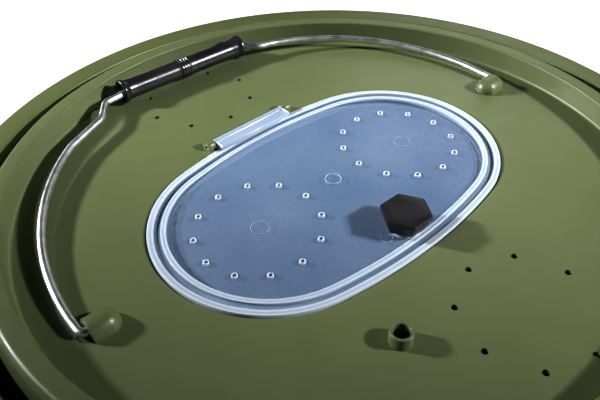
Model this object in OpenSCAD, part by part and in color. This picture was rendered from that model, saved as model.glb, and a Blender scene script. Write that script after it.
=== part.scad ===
/* [Bucket] */
// Height of the bucket from the ground to the top of its rim
bucket_h = 290; // [240:1:340]
// Inner radius of the bucket at its rim
bucket_mouth_r = 163.5; // [147:0.5:185]
// Inner radius of the bucket at its floor
bucket_floor_r = 130; // [126:1:150]
// Wall thickness of the bucket
bucket_wall = 2.6; // [1.8:0.1:4]
// Thickness of the bucket's floor
bucket_floor_t = 3; // [2:0.5:6]
// Width of the flat rim, from the mouth to the outside of its lip
rim_w = 13.7; // [11:0.1:20]
// Depth of the lip that hangs from the rim
lip_h = 20; // [16:1:35]
// Rounding of the rim's outer edge
rim_round = 2.4; // [1:0.1:2.5]
// Height of the foot ring under the floor
foot_h = 4; // [2:0.5:10]
// Width of the foot ring
foot_w = 6; // [3:0.5:10]

/* [Bucket bail] */
// Diameter of the bucket's bail wire
carry_wire_d = 3.5; // [2.5:0.1:4.2]
// Gap between the bail wire and the bucket's mouth when it lies inside the rim
carry_gap = 1.2; // [1.1:0.05:2]
// Depth of the bail's pivot below the top of the rim
carry_drop = 5.2; // [5:0.1:10]
// Angle of the bail's pivot line from the Y axis, seen from above
carry_turn = -6; // [-45:1:45]

/* [Basket] */
// Gap round the basket at the bucket's floor
basket_room = 13; // [8:0.5:30]
// Gap between the basket's rim and the curve of the lid's shoulder
basket_fit = 0.1; // [0.05:0.05:0.4]
// Wall thickness of the basket
basket_wall = 2.2; // [1.6:0.1:2.8]
// Height of the basket's feet
basket_foot_h = 14; // [8:1:40]
// Number of feet under the basket
basket_feet = 4; // [3:1:8]
// Side of the square holes in the basket's floor
floor_hole = 8; // [4:0.5:10]
// Distance between the holes in the basket's floor
floor_pitch = 15; // [13:0.5:24]
// Width of the square holes in the basket's wall
wall_hole = 13; // [6:0.5:16]
// Rows of holes in the basket's wall
wall_rows = 6; // [2:1:7]
// Holes in each row of the basket's wall
wall_columns = 24; // [12:1:30]

/* [Lid] */
// Height of the lid's centre above the top of the bucket's rim
lid_rise = -3.7; // [-6:0.1:10]
// Thickness of the lid's plate, wall and rim
lid_t = 2.2; // [1.6:0.1:2.6]
// Drop of the domed plate from its centre to the foot of the wall
lid_crown = 2.7; // [1:0.1:6]
// Height of the wall's top above the lid's centre
wall_top = 8.9; // [6:0.1:20]
// Lean of the wall outwards from its foot to its top
wall_lean = 0.9; // [0.5:0.1:1.2]
// Width of the lid's raised rim, from the wall's top to the skirt
lid_rim_w = 10.9; // [10:0.1:16]
// Gap between the lid's skirt and the bucket's mouth
lid_gap = 6.9; // [6:0.1:12]
// Width of the rounded shoulder between the rim's top and the skirt
shoulder = 4.6; // [3:0.1:6]
// Depth of the skirt's hem below the lid's centre
skirt_drop = 7; // [4:0.5:14]

/* [Air holes and hose port] */
// Distance of each ring of air holes outwards from midway between the hatch and the wall
vent_shift = 3.4; // [0:0.1:6]
// Radius of each ring of air holes
vent_ring_r = 28; // [20:0.5:30]
// Number of air holes in a ring
vent_count = 8; // [4:1:12]
// Diameter of an air hole
vent_d = 2.9; // [1.5:0.1:4]
// Distance from the hose port to the plate's edge
port_edge = 51; // [20:0.5:54]
// Angle of the hose port from the X axis, seen from above
port_turn = -29.7; // [-36:0.1:-26]
// Outer diameter of the hose port
port_od = 9.4; // [8.6:0.1:12]
// Bore of the hose port
port_bore = 6.8; // [4:0.1:7.4]
// Height of the hose port above the plate
port_h = 5.6; // [3:0.1:20]
// Length of the hose port below the plate
port_under = 6; // [3:0.5:15]

/* [Lid bail] */
// Diameter of the lid's bail wire
wire_d = 3.7; // [2.5:0.1:4.5]
// Distance from the bail's arc to the wall's top
arc_room = 15.5; // [14:0.1:20]
// Angle from the grip's side at which the arc's plain half ends
arc_end = 36; // [32:1:40]
// Angle from the grip's side at which the arc's bowed half ends
bow_end = 30; // [27:1:33]
// Bow of that half beyond the arc's circle
arc_bow = 5.6; // [0:0.1:6]
// Distance from the grip's middle to the circle of the bail's arc
grip_back = 0.9; // [0.5:0.1:8]
// Distance of the grip's middle along the pivot line, towards the bowed half
grip_shift = 7.1; // [0:0.1:8]
// Angle of the grip from the pivot line, seen from above
grip_skew = 2.5; // [0:0.1:4]
// Height of the bail's pivot above the lid's centre
pivot_z = 0.4; // [0.2:0.1:6]
// Radius of the pivot bosses
boss_r = 6.1; // [5.4:0.1:9]
// Height of a boss above the wire's pin
boss_cover = 2.6; // [1.5:0.1:3.5]
// Length of a boss
boss_l = 13.4; // [11:0.1:22]
// Gap between the bail wire and the end face of a boss
boss_gap = 0.6; // [0.3:0.1:2]
// Depth to which the wire's end runs into a boss
pin_l = 8; // [6:0.5:9]

/* [Grip] */
// Length of the grip
grip_l = 80; // [60:1:88]
// Diameter of the grip's barrel
grip_d = 10.4; // [9:0.1:15]
// Height of a flared end above the barrel
flare_out = 1.3; // [0.6:0.1:2]
// Length of a flared end
flare_l = 8; // [5:0.5:15]
// Height of the ring at the grip's middle above the barrel
ring_out = 0.6; // [0.2:0.1:1.2]
// Width of the ring at the grip's middle
ring_w = 6; // [3:0.5:12]
// Wall of the grip round the hollow at each end
hollow_wall = 0.9; // [0.6:0.1:1.1]
// Depth of the hollow at each end of the grip
hollow_l = 15; // [14:1:24]

/* [Hatch] */
// Half of the hatch's length
hatch_hl = 91.8; // [88:0.2:96]
// Half of the hatch's width
hatch_hw = 58.4; // [55.5:0.1:60.5]
// Radius of the hatch's rounded ends
hatch_end_r = 54.8; // [44:0.2:56.4]
// Depth of the flange's top below the lid's centre
hatch_sink = 1.2; // [0:0.1:1.6]
// Thickness of the hatch's flange
flange_t = 1.8; // [1.2:0.1:2.4]
// Thickness of the hatch's clear membrane
membrane_t = 1.3; // [1:0.1:2]
// Height of the membrane's crown above the lid's centre
membrane_z = 1.5; // [1:0.1:2.4]
// Radius of the sphere that the membrane follows
membrane_r = 840; // [700:10:1200]
// Width of the outer bead
outer_bead_w = 2.9; // [2:0.1:4]
// Width of the groove between the two beads
groove_w = 3; // [2:0.1:4]
// Width of the inner bead
inner_bead_w = 2.5; // [1.5:0.1:4]
// Height of the beads above the flange
bead_h = 1.2; // [0.5:0.1:1.3]
// Gap round the hatch in its recess
hatch_gap = 0.7; // [0.4:0.05:1.2]
// Width of the ledge that the hatch rests on
ledge_w = 4.8; // [3:0.1:5.2]
// Distance from the centre of each ring of hatch holes to the hatch's end
hatch_ring_in = 46.3; // [42:0.1:50]
// Radius of each ring of hatch holes
hatch_ring_r = 28.2; // [24:0.1:30]
// Number of holes in a hatch ring
hatch_holes = 12; // [6:1:16]
// Diameter of a hatch hole
hatch_hole_d = 1.8; // [1:0.1:2.4]
// Diameter of the collar round a hatch hole
collar_d = 4; // [3.2:0.1:5]
// Height of the collar above the membrane
collar_h = 0.6; // [0.3:0.1:1.2]

/* [Hinge] */
// Distance of the hinge's axis behind the hatch's edge
hinge_back = 3.4; // [3.2:0.1:7]
// Height of the hinge's axis above the lid's centre
hinge_z = 0.9; // [0.8:0.1:4]
// Radius of the hinge's knuckle
knuckle_r = 1.9; // [1.7:0.1:2.4]
// Half of the knuckle's length
knuckle_hl = 22.4; // [16:0.2:30]
// Diameter of the hinge's pin
pin_d = 1.6; // [1.4:0.1:2.2]
// Width of a hinge lug
lug_w = 4; // [3:0.1:8]
// Gap between the knuckle and a lug
lug_gap = 0.6; // [0.3:0.1:1.5]
// Half of the lug's length across the axis
lug_r = 3; // [2.6:0.1:4]
// Wall of a lug round the pin
lug_wall = 1.6; // [1.4:0.1:2.6]

/* [Latch] */
// Distance from the latch's axis to the hatch's edge
latch_in = 15; // [13.8:0.1:15.4]
// Distance across the corners of the knob's top
knob_d = 22.8; // [20:0.1:30]
// Distance across the corners of the knob's foot
knob_foot_d = 18.8; // [16:0.1:28]
// Angle of the knob's corners from the X axis
knob_turn = 28; // [0:1:59]
// Height of the knob's seat above the membrane
seat_h = 1.2; // [0.8:0.1:1.8]
// Height of the knob
knob_h = 7.4; // [6:0.1:14]
// Thickness of the knob's overhanging top
knob_top_t = 2.4; // [1:0.1:4]
// Diameter of the knob's hub
hub_d = 9.8; // [8:0.1:10.4]
// Width of the square drive under the hub
drive_w = 6; // [5:0.1:6.6]
// Length of the cam from the latch's axis
cam_l = 17; // [14:0.5:22]
// Width of the cam
cam_w = 10; // [8.6:0.1:10.6]
// Thickness of the cam
cam_t = 3.2; // [2:0.1:5]
// Thread diameter of the latch's screw
screw_d = 2.8; // [2:0.1:3.2]
// Head diameter of the latch's screw
screw_head_d = 6.6; // [5:0.1:8]
// Thickness of the screw's head
screw_head_t = 1.8; // [1:0.1:3]
// Thickness of the plain washer under the cam
washer_t = 0.8; // [0.5:0.1:1.5]
// Thickness of the spring washer under the knob
spring_t = 0.6; // [0.4:0.1:1]

/* [Clearances] */
// Radial clearance of a running pin
run_gap = 0.06; // [0.02:0.01:0.1]
// Gap between a fixed pin or screw and its hole
fit_gap = 0.03; // [0.01:0.01:0.05]
// Gap kept between moving faces that only pass each other
pass_gap = 0.4; // [0.3:0.1:0.6]

/* [Hidden] */

wire_sides = 12;
round_fn = 96;
over = 1;                        // how far a cutter passes the face that it cuts
lid_z = bucket_h + lid_rise;     // height of the lid's centre
rim_r = bucket_mouth_r + rim_w;
skirt_r = bucket_mouth_r - lid_gap;
wall_top_r = skirt_r - lid_rim_w;
plate_r = wall_top_r - wall_lean;
basket_rim_r = skirt_r - shoulder - basket_fit;
basket_floor_r = bucket_floor_r - basket_room;
crown_r = (plate_r * plate_r + lid_crown * lid_crown) / (2 * lid_crown);
basket_top = lid_z + wall_top - lid_t;
basket_low = bucket_floor_t + foot_h + basket_foot_h;
carry_z = bucket_h - carry_drop;
carry_r = bucket_mouth_r - carry_gap - carry_wire_d / 2;
arc_r = wall_top_r - arc_room;
flare_r = grip_d / 2 + flare_out;
grip_x = arc_r - grip_back;
boss_out = arc_r - wire_d / 2 - boss_gap;
boss_in = boss_out - boss_l;
flange_z = -hatch_sink;          // height of the flange's top, from the lid's centre
bead_z = flange_z + bead_h;
recess_z = flange_z - flange_t;  // height of the ledge's top
ledge_z = recess_z - lid_t;
plug_z = ledge_z + 0.4;
hinge_x = -(hatch_hw + hinge_back);
latch_x = hatch_hw - latch_in;
hatch_ring_y = hatch_hl - hatch_ring_in;
vent_x = (hatch_hw + plate_r) / 2 + vent_shift;
port_x = (plate_r - port_edge) * cos(port_turn);
port_y = (plate_r - port_edge) * sin(port_turn);
cam_z = ledge_z - pass_gap;
seat_z = membrane_at(latch_x) + seat_h;
knob_z = seat_z + spring_t;
bead_in = outer_bead_w + groove_w;
plug_in = bead_in + inner_bead_w;
grip_rest_z = flare_r + pass_gap - plate_sag(grip_x);
bail_tilt = asin((grip_rest_z - pivot_z) / grip_x);
port_floor = -plate_sag(norm([port_x, port_y]));

// Drop of the domed plate's top at a distance from the centre
function plate_sag(r) = crown_r - sqrt(crown_r * crown_r - r * r);

// Height of the membrane's top at a distance from the centre
function membrane_at(r) = membrane_z - membrane_r + sqrt(membrane_r * membrane_r - r * r);

// Points of an arc
function arc(cx, cy, r, a0, a1, n) =
    [for (i = [0:n]) let (a = a0 + (a1 - a0) * i / n) [cx + r * cos(a), cy + r * sin(a)]];

// A four-arc oval, long along Y, drawn in by a distance from the hatch's outline
function oval(inset) =
    let (hl = hatch_hl - inset, hw = hatch_hw - inset, er = hatch_end_r - inset,
         c = hl - er, d = (c * c - (hw - er) * (hw - er)) / (2 * (hw - er)),
         side_r = hw + d, turn = atan2(c, d))
    concat(arc(-d, 0, side_r, -turn, turn, 14), arc(0, c, er, turn + 6, 174 - turn, 20),
           arc(d, 0, side_r, 180 - turn, 180 + turn, 14),
           arc(0, -c, er, 186 + turn, 354 - turn, 20));

// Round the corners of a path with arcs of the given radii
function unit(v) = v / norm(v);
function corner(a, b, c, r, n) =
    let (u = unit(a - b), w = unit(c - b), half = acos(u * w) / 2, back = r / tan(half),
         centre = b + unit(u + w) * r / sin(half), s = b + u * back - centre, e = b + w * back - centre,
         span = 180 - 2 * half)
    [for (i = [0:n]) let (t = i / n) centre + (s * sin((1 - t) * span) + e * sin(t * span)) / sin(span)];
function rounded(p, r, n) =
    concat([p[0]], [for (i = [1:len(p) - 2]) each corner(p[i - 1], p[i], p[i + 1], r[i], n)],
           [p[len(p) - 1]]);

// A round wire along a flat path, made of rings that stand square to it
module wire(path, d) {
    count = len(path);
    rings = [for (i = [0:count - 1])
        let (before = path[max(i - 1, 0)], after = path[min(i + 1, count - 1)], t = unit(after - before))
        for (k = [0:wire_sides - 1])
            let (a = 360 * (k + 0.5) / wire_sides, side = d / 2 * cos(a))
            [path[i][0] + t[1] * side, path[i][1] - t[0] * side, d / 2 * sin(a)]];
    sides = [for (i = [0:count - 2]) for (k = [0:wire_sides - 1])
        let (a = i * wire_sides + k, b = i * wire_sides + (k + 1) % wire_sides)
        each [[a, b, b + wire_sides], [a, b + wire_sides, a + wire_sides]]];
    first = [for (k = [1:wire_sides - 2]) [0, k + 1, k]];
    last = [for (k = [1:wire_sides - 2]) (count - 1) * wire_sides * [1, 1, 1] + [0, k, k + 1]];
    polyhedron(rings, concat(sides, first, last));
}

// A straight pin along Y from one distance to another
module pin_y(r, y0, y1)
    translate([0, y0, 0]) rotate([-90, 0, 0]) cylinder(r = r, h = y1 - y0, $fn = round_fn);

module bucket_shell() color("darkolivegreen") {
    wall_out = bucket_mouth_r + bucket_wall;
    floor_out = bucket_floor_r + bucket_wall;
    floor_top = bucket_floor_t + foot_h;
    lip_in = rim_r - bucket_wall;
    difference() {
        union() {
            rotate_extrude($fn = round_fn) polygon(concat(
                [[0, foot_h], [floor_out - foot_w, foot_h], [floor_out - foot_w, 0], [floor_out, 0],
                 [wall_out, bucket_h - bucket_wall], [lip_in, bucket_h - bucket_wall],
                 [lip_in, bucket_h - lip_h], [rim_r, bucket_h - lip_h]],
                arc(rim_r - rim_round, bucket_h - rim_round, rim_round, 0, 90, 6),
                [[bucket_mouth_r, bucket_h], [bucket_floor_r, floor_top], [0, floor_top]]));
            for (side = [0, 180]) rotate([0, 0, carry_turn + side]) bail_block();
        }
        for (side = [0, 180]) rotate([0, 0, carry_turn + side]) translate([0, 0, carry_z])
            pin_y(carry_wire_d / 2 + run_gap, carry_r, rim_r + over);
    }
}

// Block between the wall and the lip that carries one end of the bail
module bail_block() {
    block_w = 3 * carry_wire_d;
    block_h = lip_h - bucket_wall;
    translate([-block_w / 2, bucket_mouth_r + bucket_wall / 2, bucket_h - lip_h + over])
        cube([block_w, rim_w - 1.5 * bucket_wall, block_h]);
}

module bucket_bail() color("silver") translate([0, 0, carry_z]) rotate([0, 0, carry_turn]) {
    bend = carry_wire_d / 2 + 0.1;
    reach = rim_r - 0.5;
    turned = rounded([[0, reach - 4], [0, carry_r], [-3 * bend, carry_r - 0.2]], [0, bend, 0], 5);
    quarter = concat([for (i = [0:len(turned) - 2]) turned[i]],
                     arc(0, 0, carry_r, 90 + asin(3 * bend / carry_r), 176, 26));
    mirrored = [for (i = [len(quarter) - 1:-1:0]) [quarter[i][0], -quarter[i][1]]];
    wire(concat(quarter, mirrored), carry_wire_d - 0.04);
    for (side = [0, 180]) rotate([0, 0, side]) pin_y(carry_wire_d / 2, carry_r + bend, reach);
}

module basket() color("darkolivegreen") {
    floor_top = basket_low + basket_wall;
    slope = (basket_rim_r - basket_floor_r) / (basket_top - basket_low);
    row_h = (basket_top - floor_top - 40) / wall_rows;
    cells = floor((basket_floor_r - 2 * floor_hole) / floor_pitch);
    difference() {
        union() {
            rotate_extrude($fn = round_fn) polygon([[0, basket_low], [basket_floor_r, basket_low],
                [basket_rim_r, basket_top], [basket_rim_r - basket_wall, basket_top],
                [basket_floor_r + slope * basket_wall - basket_wall, floor_top], [0, floor_top]]);
            for (i = [0:basket_feet - 1]) rotate([0, 0, 360 * (i + 0.5) / basket_feet])
                translate([basket_floor_r - 14, 0, basket_low - basket_foot_h])
                    cylinder(r = 7, h = basket_foot_h + basket_wall / 2, $fn = round_fn);
        }
        for (i = [-cells:cells]) for (j = [-cells:cells])
            if (norm([i, j]) * floor_pitch < basket_floor_r - 1.5 * floor_pitch)
                translate([i * floor_pitch, j * floor_pitch, basket_low + basket_wall / 2])
                    cube([floor_hole, floor_hole, basket_wall + 2 * over], center = true);
        for (row = [0:wall_rows - 1]) for (k = [0:wall_columns - 1])
            rotate([0, 0, 360 * (k + 0.5 * (row % 2)) / wall_columns])
                translate([basket_floor_r - 15, -wall_hole / 2, floor_top + 15 + row * row_h])
                    cube([basket_rim_r, wall_hole, min(wall_hole * 1.6, row_h - 8)]);
    }
}

module lid() color("olivedrab") translate([0, 0, lid_z]) {
    arch = 10;
    top_in = wall_top_r + lid_t / 3;
    top_out = skirt_r - shoulder;
    inner_top = wall_top - lid_t;
    plate_top = [for (i = [0:arch]) let (r = plate_r * i / arch) [r, -plate_sag(r)]];
    plate_under = [for (i = [arch:-1:0]) let (r = (plate_r + lid_t) * i / arch) [r, -plate_sag(r) - lid_t]];
    shoulder_out = [for (i = [8:-1:0]) let (a = 90 * i / 8)
        [top_out + shoulder * cos(a), wall_top - 2 * shoulder * (1 - sin(a))]];
    shoulder_in = [for (i = [0:8]) let (a = 90 * i / 8)
        [top_out + (shoulder - lid_t) * cos(a), inner_top - (2 * shoulder - lid_t) * (1 - sin(a))]];
    difference() {
        union() {
            rotate_extrude($fn = round_fn) polygon(concat(plate_top,
                [[wall_top_r, wall_top - lid_t / 3], [top_in, wall_top]], shoulder_out,
                [[skirt_r, -skirt_drop], [skirt_r - lid_t, -skirt_drop]], shoulder_in,
                [[wall_top_r + lid_t, inner_top]], plate_under));
            linear_extrude_from(ledge_z, -plate_sag(hatch_hw) - lid_t / 2) polygon(oval(-hatch_gap - lid_t));
            for (side = [0, 180]) rotate([0, 0, side]) bail_boss();
            for (side = [-1, 1])
                translate([hinge_x, side * (knuckle_hl + lug_gap + lug_w / 2), hinge_z]) hinge_lug();
            translate([port_x, port_y, port_floor - lid_t - port_under])
                cylinder(d = port_od, h = port_h + lid_t + port_under, $fn = round_fn);
        }
        linear_extrude_from(recess_z, wall_top) polygon(oval(-hatch_gap));
        linear_extrude_from(ledge_z - over, wall_top) polygon(oval(ledge_w));
        for (side = [-1, 1]) for (i = [0:vent_count - 1]) let (a = 360 * i / vent_count)
            translate([side * vent_x + vent_ring_r * cos(a), vent_ring_r * sin(a), -wall_top])
                cylinder(d = vent_d, h = 2 * wall_top, $fn = round_fn);
        translate([port_x, port_y, -2 * wall_top]) cylinder(d = port_bore, h = 4 * wall_top, $fn = round_fn);
        for (side = [0, 180]) rotate([0, 0, side]) translate([0, 0, pivot_z])
            pin_y(wire_d / 2 + run_gap, boss_out - pin_l - over, boss_out + over);
        translate([hinge_x, 0, hinge_z]) {
            reach = knuckle_hl + lug_gap + lug_w + over;
            pin_y(pin_d / 2 + fit_gap, -reach, reach);
        }
        knuckle_way();
    }
}

// A prism between two heights
module linear_extrude_from(z0, z1) translate([0, 0, z0]) linear_extrude(z1 - z0) children();

// Half-round boss on the plate, round the end of the wire, with its inner end rounded off
module bail_boss() {
    axis_z = pivot_z + wire_d / 2 + boss_cover - boss_r;
    intersection() {
        union() {
            translate([0, 0, axis_z]) pin_y(boss_r, boss_in + boss_r, boss_out);
            translate([0, boss_in + boss_r, axis_z]) sphere(r = boss_r, $fn = round_fn);
        }
        translate([-boss_r - over, 0, -plate_sag(boss_out) - lid_t / 2])
            cube([2 * (boss_r + over), boss_out, 3 * boss_r]);
    }
}

// Upright lug with a round top, which holds one end of the hinge's pin
module hinge_lug() {
    foot = hinge_z + lid_t / 2 + 0.6;
    translate([0, -lug_w / 2, 0]) pin_y(pin_d / 2 + lug_wall, 0, lug_w);
    translate([-lug_r, -lug_w / 2, -foot]) cube([2 * lug_r, lug_w, foot]);
}

// Room under the knuckle
module knuckle_way() {
    reach = knuckle_hl + lug_gap;
    translate([hinge_x, 0, hinge_z]) pin_y(knuckle_r + pass_gap, -reach, reach);
}

// Place in the bail's plane at a distance along the grip's axis and another off it, towards the hatch
function by_grip(along, off) =
    [along * sin(grip_skew) + off * cos(grip_skew) - grip_x,
     grip_shift + along * cos(grip_skew) - off * sin(grip_skew)];

// Half of the bail's arc, from its pivot on the Y axis towards the grip's side, with its end turned in
function arc_half(end, bow) =
    let (bend = arc_r - boss_out - 0.2, first = asin(3 * bend / arc_r), span = 90 - end,
         turned = rounded([[0, boss_out - pin_l + 4], [0, arc_r], [-3 * bend, arc_r - 0.2]], [0, bend, 0], 5))
    concat([for (i = [0:len(turned) - 2]) turned[i]],
           [for (i = [0:22]) let (a = first + (span - first) * i / 22,
               r = arc_r + bow * sin(max(0, a - 4) * 180 / 70)) [-r * sin(a), r * cos(a)]]);

module lid_bail() color("silver") translate([0, 0, lid_z + pivot_z]) rotate([0, bail_tilt, 0]) {
    half = grip_l / 2;
    straight = half - hollow_l - 3;
    aside = min(grip_d / 2 - hollow_wall - wire_d / 2 - 0.25, 2.2);
    lean = aside / (half - straight - 1.5);
    plain = [for (p = arc_half(arc_end, 0)) [p[0], -p[1]]];
    bowed = arc_half(bow_end, arc_bow);
    jog = rounded([plain[len(plain) - 1], by_grip(-half - 19.7, 15.7), by_grip(-half - 11.5, aside + 11.5 * lean),
                   by_grip(-straight - 1.5, 0), by_grip(half + 0.4, 0), by_grip(half + 8.4, 8),
                   bowed[len(bowed) - 1]],
                  [0, 10, 5, 20, 5, 9, 0], 5);
    wire(concat([for (i = [0:len(plain) - 2]) plain[i]], jog, [for (i = [len(bowed) - 2:-1:0]) bowed[i]]),
         wire_d - 0.04);
    for (side = [0, 180]) rotate([0, 0, side])
        pin_y(wire_d / 2, boss_out - pin_l, boss_out + 0.2);
    at_grip() pin_y(wire_d / 2, -straight, straight);
}

// The grip's place in the bail's plane
module at_grip() translate([-grip_x, grip_shift, 0]) rotate([0, 0, -grip_skew]) children();

module lid_grip() color("dimgray")
    translate([0, 0, lid_z + pivot_z]) rotate([0, bail_tilt, 0]) at_grip() rotate([-90, 0, 0]) {
        half = grip_l / 2;
        barrel = grip_d / 2;
        ring = barrel + ring_out;
        bore = wire_d / 2 + run_gap;
        hollow = barrel - hollow_wall;
        side = [[ring, 0.4 * ring_w], [barrel, 0.6 * ring_w], [barrel, half - flare_l],
                [barrel + 0.3 * flare_out, half - 0.5 * flare_l], [flare_r, half - 1.2], [flare_r, half],
                [hollow + 0.6, half], [hollow, half - 1.5], [hollow, half - hollow_l],
                [bore, half - hollow_l - 3]];
        rotate_extrude($fn = round_fn)
            polygon(concat(side, [for (i = [len(side) - 1:-1:0]) [side[i][0], -side[i][1]]]));
    }

module hatch() color("lightsteelblue", 0.6) translate([0, 0, lid_z]) {
    web_z = pass_gap - plate_sag(hatch_hw);
    difference() {
        union() {
            linear_extrude_from(recess_z, flange_z) difference() {
                polygon(oval(0));
                polygon(oval(bead_in + inner_bead_w / 2));
            }
            linear_extrude_from(flange_z - flange_t / 2, bead_z) difference() {
                polygon(oval(0));
                polygon(oval(outer_bead_w));
            }
            linear_extrude_from(plug_z, bead_z) difference() {
                polygon(oval(bead_in));
                polygon(oval(plug_in));
            }
            intersection() {
                translate([0, 0, membrane_z - membrane_r]) difference() {
                    sphere(r = membrane_r, $fn = round_fn);
                    sphere(r = membrane_r - membrane_t, $fn = round_fn);
                }
                linear_extrude_from(plug_z, membrane_z + over) polygon(oval(bead_in + inner_bead_w / 2));
            }
            for (side = [-1, 1]) for (i = [0:hatch_holes - 1]) let (a = 360 * i / hatch_holes,
                x = hatch_ring_r * cos(a), y = side * hatch_ring_y + hatch_ring_r * sin(a))
                translate([x, y, membrane_at(norm([x, y])) - membrane_t / 2])
                    cylinder(d = collar_d, h = membrane_t / 2 + collar_h, $fn = round_fn);
            translate([latch_x, 0, membrane_at(latch_x) - membrane_t])
                cylinder(r = hub_d / 2 + 2, h = seat_z - membrane_at(latch_x) + membrane_t, $fn = round_fn);
            translate([hinge_x, 0, hinge_z]) pin_y(knuckle_r, -knuckle_hl, knuckle_hl);
            translate([hinge_x, -knuckle_hl, web_z])
                cube([hinge_back + outer_bead_w + 0.4, 2 * knuckle_hl, hinge_z + 1.1 - web_z]);
            intersection() {
                translate([-hatch_hw, -knuckle_hl, flange_z - flange_t / 2])
                    cube([outer_bead_w + 0.4, 2 * knuckle_hl, hinge_z + 1.1 - flange_z + flange_t / 2]);
                linear_extrude_from(recess_z, wall_top) polygon(oval(0));
            }
        }
        for (side = [-1, 1]) for (i = [0:hatch_holes - 1]) let (a = 360 * i / hatch_holes)
            translate([hatch_ring_r * cos(a), side * hatch_ring_y + hatch_ring_r * sin(a), -wall_top])
                cylinder(d = hatch_hole_d, h = 2 * wall_top, $fn = round_fn);
        translate([latch_x, 0, -wall_top])
            cylinder(r = hub_d / 2 + run_gap, h = 2 * wall_top, $fn = round_fn);
        translate([hinge_x, 0, hinge_z]) pin_y(pin_d / 2 + run_gap, -knuckle_hl - over, knuckle_hl + over);
    }
}

module hinge_pin() color("silver") translate([hinge_x, 0, lid_z + hinge_z]) {
    reach = knuckle_hl + lug_gap + lug_w - 0.4;
    pin_y(pin_d / 2, -reach, reach);
}

module at_latch() translate([latch_x, 0, lid_z]) children();

module latch_knob() color("dimgray") at_latch() difference() {
    foot_r = knob_foot_d / 2;
    top_r = knob_d / 2;
    drive_low = cam_z - cam_t + 0.4;
    union() {
        translate([0, 0, knob_z]) rotate([0, 0, knob_turn]) {
            cylinder(r = foot_r, h = knob_h - knob_top_t, $fn = 6);
            translate([0, 0, knob_h - knob_top_t]) cylinder(r = top_r, h = knob_top_t, $fn = 6);
        }
        translate([0, 0, cam_z + 0.1]) cylinder(d = hub_d, h = knob_z - cam_z + over, $fn = round_fn);
        translate([-drive_w / 2, -drive_w / 2, drive_low]) cube([drive_w, drive_w, cam_z - drive_low + over]);
    }
    translate([0, 0, drive_low - over])
        cylinder(d = screw_d + 2 * fit_gap, h = knob_z - drive_low + 3, $fn = round_fn);
}

module latch_cam() color("dimgray") at_latch() translate([0, 0, cam_z - cam_t]) difference() {
    union() {
        translate([-cam_w / 2, -cam_w / 2, 0]) cube([cam_w, cam_l, cam_t]);
        translate([0, cam_l - cam_w / 2, 0]) cylinder(d = cam_w, h = cam_t, $fn = round_fn);
        translate([-cam_w / 2, -cam_w / 2, 0]) cube([cam_w, cam_w, cam_t]);
    }
    clear = drive_w / 2 + 2 * fit_gap;
    translate([-clear, -clear, -over]) cube([2 * clear, 2 * clear, cam_t + 2 * over]);
}

module latch_screw() color("silver") at_latch() {
    head_top = cam_z - cam_t - washer_t;
    translate([0, 0, head_top - screw_head_t]) cylinder(d = screw_head_d, h = screw_head_t, $fn = round_fn);
    translate([0, 0, head_top - over]) cylinder(d = screw_d, h = knob_z - head_top + over, $fn = round_fn);
}

module latch_washer() color("silver") at_latch() translate([0, 0, cam_z - cam_t - washer_t]) difference() {
    cylinder(d = 1.35 * drive_w + 1.5, h = washer_t, $fn = round_fn);
    translate([0, 0, -over]) cylinder(d = screw_d + 0.4, h = washer_t + 2 * over, $fn = round_fn);
}

module latch_spring_washer() color("silver") at_latch() translate([0, 0, seat_z]) difference() {
    cylinder(r = hub_d / 2 + 1.8, h = spring_t, $fn = round_fn);
    translate([0, 0, -over]) cylinder(r = hub_d / 2 + 0.3, h = spring_t + 2 * over, $fn = round_fn);
}

bucket_shell();
bucket_bail();
basket();
lid();
lid_bail();
lid_grip();
hatch();
hinge_pin();
latch_knob();
latch_cam();
latch_screw();
latch_washer();
latch_spring_washer();
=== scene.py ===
import math
import bpy
import numpy as np
from mathutils import Matrix, Vector


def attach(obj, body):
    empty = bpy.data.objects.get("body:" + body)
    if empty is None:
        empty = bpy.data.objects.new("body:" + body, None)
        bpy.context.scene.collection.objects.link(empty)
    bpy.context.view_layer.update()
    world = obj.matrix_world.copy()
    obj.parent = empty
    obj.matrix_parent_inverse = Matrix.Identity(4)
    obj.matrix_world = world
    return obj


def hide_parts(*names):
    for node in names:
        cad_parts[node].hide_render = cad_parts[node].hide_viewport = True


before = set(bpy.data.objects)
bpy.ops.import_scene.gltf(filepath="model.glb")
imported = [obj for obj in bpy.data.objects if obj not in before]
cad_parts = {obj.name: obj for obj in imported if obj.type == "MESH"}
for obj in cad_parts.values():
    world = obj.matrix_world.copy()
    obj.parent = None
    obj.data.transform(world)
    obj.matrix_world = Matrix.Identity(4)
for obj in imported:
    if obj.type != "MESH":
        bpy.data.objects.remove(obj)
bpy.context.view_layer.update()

mm = 0.001                    # every size below is in millimetres
print("frame loaded")

# ---- shared places, the same as in the CAD ----
place = {
    "rimTop": 290.0,          # top of the bucket's rim
    "lidZ": 286.3,            # centre of the lid
    "plateR": 144.8,          # foot of the lid's wall
    "wallTopR": 145.7,
    "wallTop": 8.9,
    "crown": 2.7,             # drop of the plate from its centre to the wall
    "lidT": 2.2,
    "pivotZ": 0.4,            # lid bail's pivot, above the lid's centre
    "arcR": 130.2,            # lid bail's arc
    "bossOut": 127.75,
    "hingeX": -61.8,
    "hingeZ": 0.9,
    "latchX": 43.4,
    "ledgeTop": -3.0,
}
crownR = (place["plateR"] ** 2 + place["crown"] ** 2) / (2 * place["crown"])


def plateSag(r):
    # drop of a sphere's top at a distance from its axis
    return crownR - np.sqrt(crownR ** 2 - np.square(r))


# ---- surfaces from grids of points ----

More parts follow.
